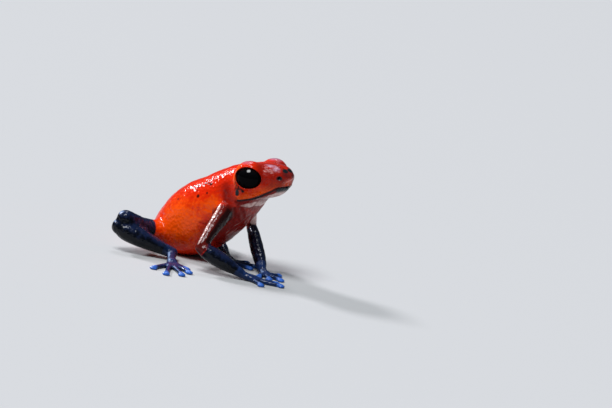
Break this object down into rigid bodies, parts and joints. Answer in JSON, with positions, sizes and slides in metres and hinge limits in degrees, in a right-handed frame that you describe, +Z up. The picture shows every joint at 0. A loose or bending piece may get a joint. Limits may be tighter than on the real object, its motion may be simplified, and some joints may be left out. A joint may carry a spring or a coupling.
{
  "type": "strawberry poison dart frog model",
  "caption": "Life-size still model of a small glossy red frog with dark blue limbs, sitting with its body propped up on its forelegs",
  "frame": {"origin": "on the plane the frog rests on, under the middle of its box", "axes": "+X the way the frog faces, +Y its left side, +Z up"},
  "size_m": [0.0206, 0.0224, 0.0134],
  "materials": {
    "skin_red": "moist, glossy, finely granular skin",
    "skin_blue": "moist, glossy, finely granular skin",
    "eye": "wet, mirror-smooth cornea"
  },
  "bodies": {
    "root": {"torso": "skin_red", "head": "skin_red", "upper_arm_right": "skin_red", "upper_arm_left": "skin_red", "eye_right": "eye", "eye_left": "eye", "forearm_right": "skin_blue", "forearm_left": "skin_blue", "hand_right": "skin_blue", "hand_left": "skin_blue", "thigh_right": "skin_blue", "thigh_left": "skin_blue", "shank_right": "skin_blue", "shank_left": "skin_blue", "foot_right": "skin_blue", "foot_left": "skin_blue"}
  },
  "joints": []
}
